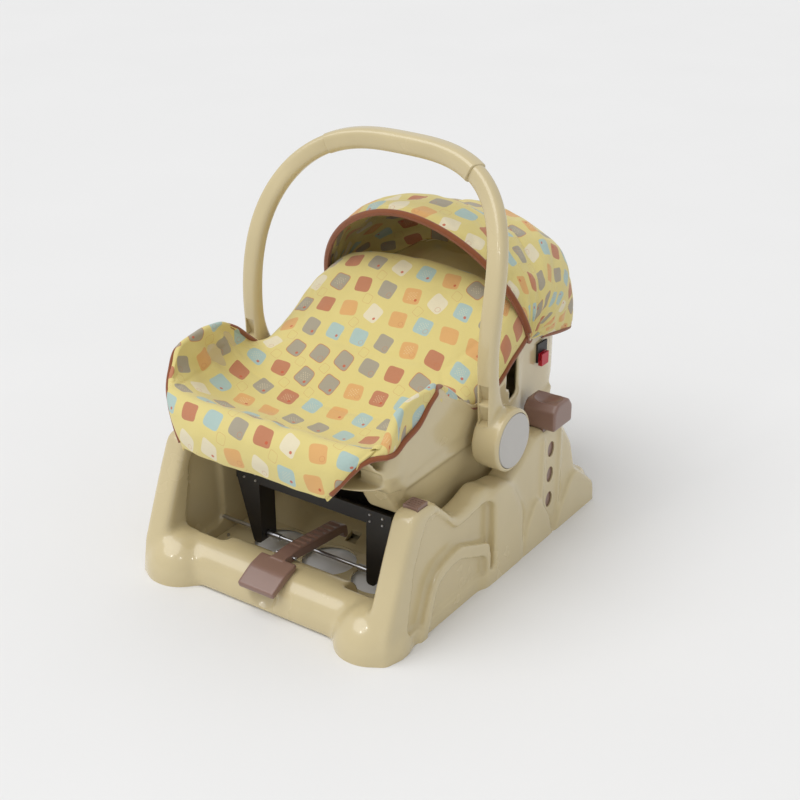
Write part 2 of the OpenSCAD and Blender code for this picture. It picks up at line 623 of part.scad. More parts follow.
// ---- Hood ----
hoop_n = 1.9;
function hoop_h(x, w, h) = h * pow(max(0, 1 - pow(min(1, abs(x) / w), hoop_n)), 1 / hoop_n);
// Ribs of the hood, each in a plane through the hinge line: [angle, reach].
hood_tail = overall_l - hood_y - hood_t;
ribs = [[-25, hood_tail + 4], [0, hood_tail], [20, hood_tail + 3], [65, hood_h - 20], [hood_lean, hood_h + 0.8]];
hood_w = eye_in + hoop_t + 0.6;
hoop_w = 8;
module in_hood_plane(a) translate([0, hood_y, hood_z]) rotate([a, 0, 0]) children();
// The hoop is a flat strip on edge: its outline lies in (x, reach) and its width across that.
module hoop_outline(w, h) polygon([for (k = [0 : 48]) let (a = 180 * k / 48, x = w * cos(a))
    [x, hoop_h(x, w, h)]]);
module hood_hoop() color(rust) {
    in_hood_plane(hood_lean) linear_extrude(hoop_w, center = true) difference() {
        hoop_outline(eye_in + hoop_t, hood_h);
        hoop_outline(eye_in, hood_h - hoop_t);
        translate([-2 * hood_hw, -1]) square([4 * hood_hw, clip_r]);
    }
    both_sides() difference() {
        union() {
            rod_x(eye_in, eye_in + hoop_t, hood_y, hood_z, 2 * clip_r);
            in_hood_plane(hood_lean) translate([eye_in, 0, -hoop_w / 2]) cube([hoop_t, 16, hoop_w]);
        }
        rod_x(eye_in - 1, eye_in + hoop_t + 1, hood_y, hood_z, hinge_pin_d + 2 * pin_clear);
    }
}
// One rib of the cloth: from one hinge side over the top to the other, at angle a and offset t.
function rib(a, t) = let (h = lookup(a, ribs) + t, w = hood_w + t, f = (hood_lean - a) / (hood_lean + 25),
    n = hoop_n + 2.1 * f)
    [for (k = [0 : 24]) let (b = 180 * k / 24, x = w * sgn(cos(b)) * pow(abs(cos(b)), 2 / n),
        r = h * pow(max(0, sin(b)), 2 / n)) [x, hood_y + r * cos(a), hood_z + r * sin(a)]];
hood_angles = [for (k = [0 : 15]) hood_lean - 2 - (hood_lean + 23) * k / 15];
// Closes two open grids of points, an outer and an inner one, into one thin solid.
module between_grids(outer, inner) {
    n = len(outer);
    m = len(outer[0]);
    function id(g, i, k) = g * n * m + i * m + k;
    function quad(a, b, c, d) = [[a, b, c], [a, c, d]];
    polyhedron(points = concat([for (r = outer) each r], [for (r = inner) each r]), convexity = 8,
        faces = concat(
            [for (i = [0 : n - 2]) for (k = [0 : m - 2])
                each quad(id(0, i, k), id(0, i, k + 1), id(0, i + 1, k + 1), id(0, i + 1, k))],
            [for (i = [0 : n - 2]) for (k = [0 : m - 2])
                each quad(id(1, i, k), id(1, i + 1, k), id(1, i + 1, k + 1), id(1, i, k + 1))],
            [for (i = [0 : n - 2]) each quad(id(0, i, 0), id(0, i + 1, 0), id(1, i + 1, 0), id(1, i, 0))],
            [for (i = [0 : n - 2]) each quad(id(0, i + 1, m - 1), id(0, i, m - 1), id(1, i, m - 1), id(1, i + 1, m - 1))],
            [for (k = [0 : m - 2]) each quad(id(0, 0, k + 1), id(0, 0, k), id(1, 0, k), id(1, 0, k + 1))],
            [for (k = [0 : m - 2]) each quad(id(0, n - 1, k), id(0, n - 1, k + 1), id(1, n - 1, k + 1), id(1, n - 1, k))]));
}
module hood_cloth() color(print_yellow)
    between_grids([for (a = hood_angles) rib(a, hood_t)], [for (a = hood_angles) rib(a, 0)]);

// The origin is on the ground under the middle of the object.
module place() translate([0, -overall_l / 2, 0]) children();

place() base_shell();
place() floor_pan();
place() rear_deck();
place() base_screws();
place() rubber_feet();
place() support_rod();
place() latch_frame();
place() latch_springs();
place() release_lever();
place() lever_pin();
place() lever_spring();
place() side_button_left();
place() side_button_right();
place() button_spring_left();
place() button_spring_right();
place() post_left();
place() post_right();
place() post_cap_left();
place() post_cap_right();
place() detent_button_left();
place() detent_button_right();
place() detent_spring_left();
place() detent_spring_right();
place() seat_shell();
place() seat_pad();
place() back_pad();
place() belt_guides();
place() belt_guide_plates();
place() hub_bosses();
place() hub_pins();
place() hood_clips();
place() handle_bow();
place() handle_grip();
place() hub_button_left();
place() hub_button_right();
place() hub_springs();
place() hood_hoop();
place() hood_cloth();
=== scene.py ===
# %% [markdown]
# # An infant car seat on its base
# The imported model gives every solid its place. This script dresses it: the mouldings get soft
# edges, the cover and the hood become cloth, and every surface gets a finish of its own.
# Lengths are in metres. The helper at() takes millimetres, with y measured from the base's front.

# %% Frame
import json
from math import cos, sin, pi, radians

import bmesh
import bpy
from mathutils import Matrix, Vector, noise


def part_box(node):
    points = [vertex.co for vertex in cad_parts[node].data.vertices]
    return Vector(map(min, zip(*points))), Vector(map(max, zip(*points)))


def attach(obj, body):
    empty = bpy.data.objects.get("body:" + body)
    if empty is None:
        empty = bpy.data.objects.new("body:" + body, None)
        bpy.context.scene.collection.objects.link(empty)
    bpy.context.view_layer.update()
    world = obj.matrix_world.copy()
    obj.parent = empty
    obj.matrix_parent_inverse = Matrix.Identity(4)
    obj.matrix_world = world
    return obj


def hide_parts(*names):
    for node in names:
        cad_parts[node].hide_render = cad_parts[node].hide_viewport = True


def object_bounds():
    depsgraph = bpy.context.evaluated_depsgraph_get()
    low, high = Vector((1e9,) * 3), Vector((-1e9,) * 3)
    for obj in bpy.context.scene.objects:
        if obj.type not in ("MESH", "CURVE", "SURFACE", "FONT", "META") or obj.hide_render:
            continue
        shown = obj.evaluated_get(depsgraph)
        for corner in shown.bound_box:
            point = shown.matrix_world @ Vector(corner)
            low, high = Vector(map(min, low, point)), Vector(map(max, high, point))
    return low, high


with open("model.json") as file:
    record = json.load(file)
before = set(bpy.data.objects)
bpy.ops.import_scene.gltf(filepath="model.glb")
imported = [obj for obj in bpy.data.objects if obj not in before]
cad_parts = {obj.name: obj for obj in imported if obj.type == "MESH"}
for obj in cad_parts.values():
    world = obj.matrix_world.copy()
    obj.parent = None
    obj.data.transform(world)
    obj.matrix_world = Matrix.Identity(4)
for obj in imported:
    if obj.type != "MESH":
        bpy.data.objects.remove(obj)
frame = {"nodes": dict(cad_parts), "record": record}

MM = 0.001
BELOW_GROUND = -30
cad_low, cad_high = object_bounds()
front_y = cad_low.y


def at(x, y, z):
    """A place in millimetres: x from the middle plane, y from the base's front, z from the ground."""
    return Vector((x * MM, front_y + y * MM, z * MM))


# %% [markdown]
# ## Tools for making pieces
# Three ways of making a piece cover the whole seat. An outline is extruded and its edges are
# bevelled, which suits levers and buttons. A grid is laid over a curved surface, which suits cloth
# and swept tubes. Mouldings with blended corners are melted: the solids are joined, remeshed as
# one skin and smoothed, as fillets would take far longer to place one by one.

# %% Mesh helpers
def new_object(name, bm):
    """Puts a finished bmesh into the scene as an object."""
    mesh = bpy.data.meshes.new(name)
    bm.to_mesh(mesh)
    bm.free()
    piece = bpy.data.objects.new(name, mesh)
    bpy.context.scene.collection.objects.link(piece)
    return piece


def apply_modifiers(piece):
    """Bakes a piece's modifiers into its mesh."""
    graph = bpy.context.evaluated_depsgraph_get()
    mesh = bpy.data.meshes.new_from_object(piece.evaluated_get(graph))
    piece.modifiers.clear()
    piece.data = mesh
    return piece


def smooth_shade(piece, angle=40):
    """Smooth shading that keeps the edges sharper than the angle."""
    piece.data.shade_smooth()
    bm = bmesh.new()
    bm.from_mesh(piece.data)
    for edge in bm.edges:
        edge.smooth = len(edge.link_faces) == 2 and edge.calc_face_angle(0) < radians(angle)
    bm.to_mesh(piece.data)
    bm.free()
    return piece


def rounded(corners, steps=5):
    """Turns corners (a, b, radius) into an outline with round corners."""
    points = []
    for i, (a, b, radius) in enumerate(corners):
        here = Vector((a, b))
        before = Vector(corners[i - 1][:2]) - here
        after = Vector(corners[(i + 1) % len(corners)][:2]) - here
        half = before.angle(after) / 2
        cut = min(radius / max(0.01, abs(sin(half) / cos(half))), 0.49 * before.length, 0.49 * after.length)
        if radius == 0 or cut < 0.05:
            points.append(here)
            continue
        start, end = here + before.normalized() * cut, here + after.normalized() * cut
        for k in range(steps + 1):
            w = k / steps
            points.append(start * (1 - w) ** 2 + here * 2 * w * (1 - w) + end * w ** 2)
    return points


def slab(outline, low, high, axis="x", bevel=0.0, segments=3):
    """A bmesh: an outline extruded along x, y or z from low to high, in millimetres."""
    place = {"x": lambda a, b, c: at(c, a, b), "y": lambda a, b, c: at(a, c, b),
             "z": lambda a, b, c: at(a, b, c)}[axis]
    bm = bmesh.new()
    ring = [bm.verts.new(place(p[0], p[1], low)) for p in outline]
    face = bm.faces.new(ring)
    grown = bmesh.ops.extrude_face_region(bm, geom=[face])
    shift = place(0, 0, high) - place(0, 0, low)
    far = [g for g in grown["geom"] if isinstance(g, bmesh.types.BMVert)]
    bmesh.ops.translate(bm, vec=shift, verts=far)
    bmesh.ops.recalc_face_normals(bm, faces=bm.faces)
    if bevel:
        rims = [e for e in bm.edges if any(len(f.verts) == len(ring) for f in e.link_faces)]
        bmesh.ops.bevel(bm, geom=rims, offset=bevel * MM, offset_type="OFFSET", segments=segments,
                        profile=0.5, affect="EDGES", material=-1, clamp_overlap=True)
    return bm


def block(low, high, bevel=0.0, segments=3):
    """A bmesh: a box between two corners in millimetres, its edges bevelled."""
    bm = bmesh.new()
    size = [h - l for l, h in zip(low, high)]
    middle = at(*[(l + h) / 2 for l, h in zip(low, high)])
    bmesh.ops.create_cube(bm, size=1.0)
    bmesh.ops.scale(bm, vec=Vector(size) * MM, verts=bm.verts)
    bmesh.ops.translate(bm, vec=middle, verts=bm.verts)
    if bevel:
        bmesh.ops.bevel(bm, geom=bm.edges[:], offset=bevel * MM, segments=segments, profile=0.5,
                        affect="EDGES", material=-1, clamp_overlap=True)
    return bm


def barrel(low, high, y, z, radius, bevel=0.0, sides=64):
    """A bmesh: a round bar along x from low to high, in millimetres."""
    bm = bmesh.new()
    turn = Matrix.Translation(at((low + high) / 2, y, z)) @ Matrix.Rotation(pi / 2, 4, "Y")
    bmesh.ops.create_cone(bm, cap_ends=True, segments=sides, radius1=radius * MM, radius2=radius * MM,
                          depth=(high - low) * MM, matrix=turn)
    if bevel:
        rims = [e for e in bm.edges if any(len(f.verts) > 4 for f in e.link_faces)]
        bmesh.ops.bevel(bm, geom=rims, offset=bevel * MM, segments=3, profile=0.5,
                        affect="EDGES", material=-1)
    return bm


def ball(x, y, z, radius):
    """A bmesh: a sphere, in millimetres."""
    bm = bmesh.new()
    bmesh.ops.create_uvsphere(bm, u_segments=48, v_segments=24, radius=radius * MM,
                              matrix=Matrix.Translation(at(x, y, z)))
    return bm


def join(*parts):
    """One bmesh out of several."""
    whole = bmesh.new()
    for part in parts:
        mesh = bpy.data.meshes.new("part")
        part.to_mesh(mesh)
        part.free()
        whole.from_mesh(mesh)
        bpy.data.meshes.remove(mesh)
    return whole


def both_sides(bm):
    """Adds the mirror image of a bmesh on the other side of the middle plane."""
    copy = bm.copy()
    bmesh.ops.scale(copy, vec=(-1, 1, 1), verts=copy.verts)
    bmesh.ops.reverse_faces(copy, faces=copy.faces)
    return join(bm, copy)


def melt(name, bm, voxel, passes):
    """Joins the solids of a bmesh into one skin with blended corners."""
    piece = new_object(name, bm)
    remesh = piece.modifiers.new("one_skin", "REMESH")
    remesh.mode = "VOXEL"
    remesh.voxel_size = voxel * MM
    soften = piece.modifiers.new("soften", "SMOOTH")
    soften.factor = 0.5
    soften.iterations = passes
    return apply_modifiers(piece)


def cut(piece, bm, operation="DIFFERENCE", solver="EXACT", crossing=False):
    """Cuts the solids of a bmesh out of a piece; crossing is for a solid that passes through itself."""
    tool = new_object("tool", bm)
    boolean = piece.modifiers.new("cut", "BOOLEAN")
    boolean.operation = operation
    boolean.solver = solver
    boolean.use_self = crossing
    boolean.object = tool
    apply_modifiers(piece)
    bpy.data.objects.remove(tool)
    return piece


def carved(part, *tools):
    """A bmesh with other bmeshes cut out of it, one after the other."""
    piece = new_object("part", part)
    for tool in tools:
        cut(piece, tool)
    result = bmesh.new()
    result.from_mesh(piece.data)
    bpy.data.objects.remove(piece)
    return result


def sides(outline, low, high, bevel=0.0):
    """An outline's slab on both flanks; what lies on the ground is carried on below it."""
    deeper = [(y, z if z > 0.5 else BELOW_GROUND, radius) for y, z, radius in outline]
    return both_sides(slab(rounded(deeper), low, high, bevel=bevel, segments=4))


def skin(name, place, wide, long, closed=False):
    """A grid laid over a surface: place(u, v) gives a point for u and v from 0 to 1."""
    bm = bmesh.new()
    bmesh.ops.create_grid(bm, x_segments=wide, y_segments=long, size=0.5)
    layer = bm.loops.layers.uv.new("cloth")
    spots = {v: (v.co.x + 0.5, v.co.y + 0.5) for v in bm.verts}
    for face in bm.faces:
        for loop in face.loops:
            loop[layer].uv = spots[loop.vert]
    for vert, (u, v) in spots.items():
        vert.co = place(u, v)
    if closed:
        bmesh.ops.remove_doubles(bm, verts=bm.verts, dist=1e-6)
        bmesh.ops.holes_fill(bm, edges=[e for e in bm.edges if e.is_boundary])
        bmesh.ops.recalc_face_normals(bm, faces=bm.faces)
    return bm if name is None else new_object(name, bm)


def through(points, t):
    """A smooth curve through the rows of a list, at t from 0 to 1 (Catmull-Rom)."""
    spans = len(points) - 1
    i = min(int(t * spans), spans - 1)
    w = t * spans - i
    rows = [points[max(0, min(spans, i + k))] for k in (-1, 0, 1, 2)]
    return [0.5 * (2 * b + (c - a) * w + (2 * a - 5 * b + 4 * c - d) * w * w
                   + (3 * b - a - 3 * c + d) * w ** 3) for a, b, c, d in zip(*rows)]


def strip(name, path, wide, thick, up=Vector((0, 0, 1)), sides=12):
    """A flat oval band swept along a list of points in metres."""
    def place(u, v):
        i = min(int(v * (len(path) - 1) + 0.5), len(path) - 1)
        heading = (path[min(i + 1, len(path) - 1)] - path[max(i - 1, 0)]).normalized()
        side = heading.cross(up).normalized()
        top = side.cross(heading)
        a = 2 * pi * u
        return path[i] + side * cos(a) * wide * MM / 2 + top * sin(a) * thick * MM / 2
    return skin(name, place, sides, len(path) - 1, closed=True)


print("helpers ready")

# %% [markdown]
# ## Finishes
# A moulded plastic is smooth, but not perfectly: its gloss wanders, and a very fine grain from the
# mould breaks its highlights. One function makes every plastic, rubber and steel from a colour, a
# gloss and a grain. The cloth is printed: squares in straight rows, every square with its own
# colour, its own slight turn and a small mark, and a few small outlined squares between the rows.
# A picture could do this, but node patterns stay sharp from close up and need no file.

# %% Node helpers
def tint(red, green, blue):
    """A colour given as 0-255 screen values, turned to linear light."""
    return [((c / 255 + 0.055) / 1.055) ** 2.4 if c > 10 else c / 3294 for c in (red, green, blue)] + [1]


def material(name):
    """A new material with its node tree and shader."""
    mat = bpy.data.materials.new(name)
    mat.use_nodes = True
    return mat, mat.node_tree, mat.node_tree.nodes["Principled BSDF"]


def node(tree, kind, settings=(), **inputs):
    """Adds a node; an input takes a value or another node's socket."""
    made = tree.nodes.new("ShaderNode" + kind)
    for key, value in dict(settings).items():
        setattr(made, key, value)
    for key, value in inputs.items():
        socket = made.inputs[int(key[1:])] if key[0] == "i" and key[1:].isdigit() else made.inputs[key]
        if isinstance(value, bpy.types.NodeSocket):
            tree.links.new(value, socket)
        else:
            socket.default_value = value
    return made


def math(tree, operation, *values):
    """A math node's result."""
    inputs = {f"i{k}": v for k, v in enumerate(values)}
    return node(tree, "Math", {"operation": operation}, **inputs).outputs[0]


def mix(tree, amount, first, second):
    """A mix of two colours."""
    made = node(tree, "Mix", {"data_type": "RGBA"})
    for socket, value in ((made.inputs[0], amount), (made.inputs[6], first), (made.inputs[7], second)):
        if isinstance(value, bpy.types.NodeSocket):
            tree.links.new(value, socket)
        else:
            socket.default_value = value
    return made.outputs[2]


def finish(name, colour, gloss, grain=1.0, coat=0.0, metal=0.0, grain_size=900):
    """A hard surface: a colour that varies a little, a gloss that wanders, and a fine grain."""
    mat, tree, shader = material(name)
    where = node(tree, "TexCoord").outputs["Object"]
    broad = node(tree, "TexNoise", Vector=where, Scale=14.0, Detail=3.0).outputs["Fac"]
    fine = node(tree, "TexNoise", Vector=where, Scale=float(grain_size), Detail=2.0).outputs["Fac"]
    darker = [c * 0.90 for c in colour[:3]] + [1]
    lighter = [min(1, c * 1.05) for c in colour[:3]] + [1]
    tree.links.new(mix(tree, broad, darker, lighter), shader.inputs["Base Color"])
    spread = node(tree, "MapRange", Value=broad)
    spread.inputs["To Min"].default_value = max(0.03, gloss - 0.07)
    spread.inputs["To Max"].default_value = gloss + 0.09
    tree.links.new(spread.outputs[0], shader.inputs["Roughness"])
    bump = node(tree, "Bump", Height=fine, Strength=0.06 * grain, Distance=0.0004)
    tree.links.new(bump.outputs[0], shader.inputs["Normal"])
    shader.inputs["Metallic"].default_value = metal
    shader.inputs["Coat Weight"].default_value = coat
    shader.inputs["Coat Roughness"].default_value = 0.08
    return mat


CREAM = finish("cream_plastic", tint(205, 189, 147), 0.24, coat=0.5)
BROWN = finish("brown_plastic", tint(134, 104, 92), 0.30, grain=2.0, coat=0.3)
BLACK = finish("black_plastic", tint(30, 27, 25), 0.42, grain=3.0)
GREY = finish("grey_plastic", tint(192, 189, 184), 0.35)
RED = finish("red_plastic", tint(190, 20, 45), 0.30)
STEEL = finish("steel", tint(190, 190, 194), 0.28, metal=1.0, grain=1.5)
RUBBER = finish("rubber", tint(38, 37, 36), 0.75, grain=6.0)
print("plain finishes ready")

# %% Printed cotton
def squares(tree, spot, shift, pitch, half):
    """One set of printed squares: where they are, where their outline is, and their own numbers."""
    moved = node(tree, "VectorMath", {"operation": "MULTIPLY_ADD"}, i0=spot,
                 i1=(1 / pitch, 1 / pitch, 0), i2=(shift + 40, shift + 40, 0)).outputs[0]
    cell = node(tree, "VectorMath", {"operation": "FLOOR"}, i0=moved).outputs[0]
    lucky = node(tree, "TexWhiteNoise", {"noise_dimensions": "3D"}, Vector=cell)
    local = node(tree, "VectorMath", {"operation": "SUBTRACT"}, i0=moved, i1=cell).outputs[0]
    centred = node(tree, "VectorMath", {"operation": "SUBTRACT"}, i0=local, i1=(0.5, 0.5, 0)).outputs[0]
    angle = math(tree, "MULTIPLY_ADD", lucky.outputs["Value"], 0.6, -0.3)
    turned = node(tree, "VectorRotate", {"rotation_type": "Z_AXIS"}, Vector=centred, Angle=angle)
    parts = node(tree, "SeparateXYZ", Vector=turned.outputs[0]).outputs
    lean = math(tree, "MULTIPLY", parts[0], 0.16)
    along_x = math(tree, "POWER", math(tree, "ABSOLUTE", parts[0]), 5.0)
    along_y = math(tree, "POWER", math(tree, "ABSOLUTE", math(tree, "ADD", parts[1], lean)), 5.0)
    reach = math(tree, "POWER", math(tree, "ADD", along_x, along_y), 0.2)
    inside = math(tree, "LESS_THAN", reach, half)
    rim = math(tree, "COMPARE", reach, half * 1.02, half * 0.035)
    return inside, rim, lucky, parts


PRINT_PITCH = 0.041


def printed_cotton(name, ground):
    """Yellow cotton with squares in six colours, small plain marks and small outlined squares."""
    mat, tree, shader = material(name)
    spot = node(tree, "UVMap", {"uv_map": "cloth"}).outputs[0]
    wander = node(tree, "TexNoise", Vector=spot, Scale=30.0, Detail=1.0).outputs["Color"]
    wavy = node(tree, "VectorMath", {"operation": "MULTIPLY_ADD"}, i0=wander,
                i1=(0.004, 0.004, 0), i2=spot).outputs[0]
    cloth = mix(tree, node(tree, "TexNoise", Vector=spot, Scale=9.0).outputs["Fac"],
                [c * 0.93 for c in ground[:3]] + [1], ground)
    inks = [tint(218, 166, 106), tint(186, 118, 90), tint(166, 192, 190), tint(160, 152, 138),
            tint(226, 216, 188), tint(214, 158, 98)]
    inside, rim, lucky, parts = squares(tree, wavy, 0.0, PRINT_PITCH, 0.31)
    ramp = node(tree, "ValToRGB", Fac=lucky.outputs["Value"])
    ramp.color_ramp.interpolation = "CONSTANT"
    for k, ink in enumerate(inks):
        stop = ramp.color_ramp.elements[k] if k < 2 else ramp.color_ramp.elements.new(0.5)
        stop.position = k / len(inks)
        stop.color = ink
    pale = math(tree, "COMPARE", lucky.outputs["Value"], 0.75, 0.084)
    cloth = mix(tree, math(tree, "MULTIPLY", inside, 0.92), cloth, ramp.outputs[0])
    cloth = mix(tree, math(tree, "MULTIPLY", math(tree, "MULTIPLY", rim, pale), 0.75), cloth,
                tint(190, 96, 62))
    rows = math(tree, "SINE", math(tree, "MULTIPLY", parts[0], 60.0))
    columns = math(tree, "SINE", math(tree, "MULTIPLY", parts[1], 60.0))
    near = math(tree, "LESS_THAN", math(tree, "MAXIMUM", math(tree, "ABSOLUTE", parts[0]),
                                        math(tree, "ABSOLUTE", parts[1])), 0.15)
    dots = math(tree, "GREATER_THAN", math(tree, "MULTIPLY", rows, columns), 0.55)
    split = node(tree, "SeparateColor", Color=lucky.outputs["Color"]).outputs
    chosen = math(tree, "LESS_THAN", split[1], 0.3)
    dotted = math(tree, "MULTIPLY", chosen, math(tree, "MULTIPLY", dots, near))
    cloth = mix(tree, math(tree, "MULTIPLY", dotted, 0.5), cloth, tint(236, 222, 180))
    away = node(tree, "VectorMath", {"operation": "DISTANCE"}, i1=(0.16, -0.17, 0))
    combined = node(tree, "CombineXYZ", X=parts[0], Y=parts[1])
    tree.links.new(combined.outputs[0], away.inputs[0])
    spot_mark = math(tree, "LESS_THAN", away.outputs["Value"], 0.052)
    marked = math(tree, "MULTIPLY", math(tree, "GREATER_THAN", split[2], 0.45), spot_mark)
    cloth = mix(tree, math(tree, "MULTIPLY", marked, 0.85), cloth, tint(196, 92, 62))
    ring = math(tree, "COMPARE", away.outputs["Value"], 0.085, 0.007)
    ringed = math(tree, "MULTIPLY", math(tree, "LESS_THAN", split[2], 0.4), ring)
    cloth = mix(tree, math(tree, "MULTIPLY", ringed, 0.6), cloth, tint(196, 120, 80))
    outline, lucky = squares(tree, wavy, 0.5, PRINT_PITCH, 0.16)[1:3]
    few = math(tree, "GREATER_THAN", lucky.outputs["Value"], 0.55)
    cloth = mix(tree, math(tree, "MULTIPLY", math(tree, "MULTIPLY", outline, few), 0.45), cloth,
                tint(190, 112, 70))
    tree.links.new(cloth, shader.inputs["Base Color"])
    threads = []
    for direction in ("X", "Y"):
        wave = node(tree, "TexWave", {"bands_direction": direction}, Vector=spot, Scale=330.0,
                    Distortion=1.5, Detail=1.0)
        threads.append(wave.outputs["Fac"])
    weave = math(tree, "MULTIPLY", threads[0], threads[1])
    crease = node(tree, "TexNoise", Vector=spot, Scale=55.0, Detail=4.0, Roughness=0.6).outputs["Fac"]
    fine = node(tree, "Bump", Height=weave, Strength=0.25, Distance=0.0004)
    broad = node(tree, "Bump", Height=crease, Strength=0.35, Distance=0.003, Normal=fine.outputs[0])
    tree.links.new(broad.outputs[0], shader.inputs["Normal"])
    shader.inputs["Roughness"].default_value = 0.82
    shader.inputs["Sheen Weight"].default_value = 0.25
    shader.inputs["Sheen Roughness"].default_value = 0.5
    shader.inputs["Specular IOR Level"].default_value = 0.25
    return mat


COTTON = printed_cotton("printed_cotton", tint(222, 206, 134))


def twill(name, colour):
    """Bias binding: a plain colour with a fine diagonal rib."""
    mat, tree, shader = material(name)
    where = node(tree, "TexCoord").outputs["Object"]
    rib = node(tree, "TexWave", {"bands_direction": "DIAGONAL"}, Vector=where, Scale=420.0,
               Distortion=0.8).outputs["Fac"]
    patch = node(tree, "TexNoise", Vector=where, Scale=60.0, Detail=3.0).outputs["Fac"]
    darker = [c * 0.8 for c in colour[:3]] + [1]
    tree.links.new(mix(tree, patch, darker, colour), shader.inputs["Base Color"])
    bump = node(tree, "Bump", Height=rib, Strength=0.4, Distance=0.0005)
    tree.links.new(bump.outputs[0], shader.inputs["Normal"])
    shader.inputs["Roughness"].default_value = 0.8
    shader.inputs["Sheen Weight"].default_value = 0.3
    return mat


BINDING = twill("binding", tint(142, 76, 34))
print("cloth finishes ready")


def dress(piece, mat, slot, body, *nodes):
    """Gives a piece its finish and its body, and hides the CAD nodes that it stands for; slot is not used.
    """
    piece.data.materials.clear()
    piece.data.materials.append(mat)
    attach(piece, body)
    if nodes:
        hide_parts(*nodes)
    print(piece.name, len(piece.data.polygons), "faces")
    return piece


# %% [markdown]
# ## CAD pieces that keep their shape
# Screws, rods, springs, the floor, the posts and the buttons are right as they are.
# They only need a finish, which goes onto the CAD object itself.

# %% Finishes on CAD nodes
FINISHES = {"cream_plastic": CREAM, "brown_plastic": BROWN, "black_plastic": BLACK,
            "grey_plastic": GREY, "red_plastic": RED, "steel": STEEL, "rubber": RUBBER,
            "printed_cotton": COTTON, "binding": BINDING}
for part in frame["record"]["subparts"]:
    cad = frame["nodes"][part["node"]]
    cad.data.materials.clear()
    cad.data.materials.append(FINISHES[part["material_slot"]])

# %% [markdown]
# ## Base moulding
# The real base is one large blow-moulded shell with no sharp corner on it. Its side walls are drawn
# as outlines seen from the side: the front arch, a hump, the rear pillar and two low peaks. Raised
# and sunken panels are slabs of other outlines, added or cut away, and the front feet are bulbs.
# The walls, feet and crossmembers are melted first, with much smoothing, which blends them as the
# mould does. The raised panels are added in a second, lighter melt, so that they stay readable.
# The post sockets and holes are cut last, so that their edges stay crisp.

# %% Base
side_in, side_out = 168, 205
arch_h, pillar_h = 186, 174
WALL = [(10, 0, 0), (546, 0, 0), (546, 22, 18), (522, 62, 18), (498, 64, 20), (480, 122, 50),
        (442, pillar_h, 30), (366, pillar_h, 12), (328, 148, 30), (288, 132, 30), (244, 154, 32),
        (212, 142, 24), (176, 138, 30), (126, arch_h - 1, 20), (80, arch_h, 20), (54, 128, 60),
        (20, 45, 30)]
HUMP = [(236, 0, 0), (344, 0, 0), (338, 80, 40), (300, 146, 44), (244, 146, 40), (236, 60, 20)]
SUNKEN = [(62, 20, 10), (262, 20, 10), (258, 132, 16), (178, 122, 26), (128, 170, 12),
          (104, 168, 18), (78, 110, 40)]
LOW_ARCH = [(74, 0, 0), (256, 0, 0), (252, 66, 16), (176, 98, 50), (118, 88, 60)]
LOW_FACE = [(92, -2, 0), (246, -2, 0), (242, 50, 14), (172, 80, 44), (126, 70, 50)]
SMALL_PEAK = [(336, 0, 0), (432, 0, 0), (410, 34, 20), (374, 84, 16), (346, 40, 30)]
REAR_PEAK = [(410, 0, 0), (546, 0, 0), (540, 30, 20), (478, 82, 26), (440, 30, 24)]
RIDGES = (386, 433)
HOLE_HEIGHTS = (55, 95, 135)
CROSS = [(24, 0, 0), (106, 0, 0), (103, 36, 30), (88, 54, 34), (52, 57, 40), (26, 34, 40)]
REAR_CROSS = [(456, 0, 0), (540, 0, 0), (534, 40, 20), (510, 58, 20), (472, 56, 20)]
POCKET = [(64, 24, 20), (150, 24, 20), (146, 120, 24), (108, 166, 24), (86, 150, 30)]
beyond = side_out + 25

core = join(sides(WALL, side_in, side_out, 6), sides(HUMP, side_in + 5, 211.5, 6),
            both_sides(ball(160, 50, 8, 52)), slab(rounded(CROSS), -side_in - 6, side_in + 6),
            slab(rounded(REAR_CROSS), -side_in - 6, side_in + 6))
core = melt("core", core, 3.0, 30)
cut(core, sides(POCKET, 100, side_in + 8))
cut(core, sides(SUNKEN, side_out - 7, beyond))
cut(core, ball(0, 10, 30, 29))
whole = bmesh.new()
whole.from_mesh(core.data)
bpy.data.objects.remove(core)
low_arch = carved(sides(LOW_ARCH, 190, 210), sides(LOW_FACE, 201.5, beyond))
peaks = join(sides(SMALL_PEAK, 190, 211), sides(REAR_PEAK, 190, 211.5))
ridges = both_sides(join(*[block((190, y, 24), (208.5, y + 10, 160), bevel=4.4) for y in RIDGES]))
base = melt("base_moulding", join(whole, low_arch, peaks, ridges), 2.8, 6)
cut(base, block((-260, -60, -60), (260, 640, 0.0)))
cuts, holes = bmesh.new(), bmesh.new()
post_low, post_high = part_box("post_left")
gap = 0.5 * MM
button_low, button_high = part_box("side_button_left")
for sign in (1, -1):
    for low, high in ((post_low, post_high), (button_low, button_high)):
        size = high - low + Vector((2 * gap, 2 * gap, 0.046))
        middle = (high + low) / 2 + Vector((0, 0, 0.017))
        spot = Matrix.Translation(Vector((sign * middle.x, middle.y, middle.z)))
        bmesh.ops.create_cube(cuts, size=1, matrix=spot @ Matrix.Diagonal((*size, 1)))
    for hole_z in HOLE_HEIGHTS:
        turn = Matrix.Translation(at(sign * 206, 415, hole_z)) @ Matrix.Rotation(pi / 2, 4, "Y")
        bmesh.ops.create_cone(holes, cap_ends=True, segments=32, radius1=9 * MM, radius2=9 * MM,
                              depth=44 * MM, matrix=turn @ Matrix.Diagonal((1.33, 1, 1, 1)))
cut(base, cuts)
cut(base, holes)
smooth_shade(base, 55)
dress(base, CREAM, "cream_plastic", "base", "base_shell")

# %% [markdown]
# ## Lever, caps and latch details
# The lever is a paddle on a ribbed shaft with a hook at its end. Its parts are outlines extruded
# across the car and bevelled. The caps on the height posts are rounded blocks with a dish pressed
# into their tops, which melting and one cut with a large ball give. Rivets hold the latch frame.

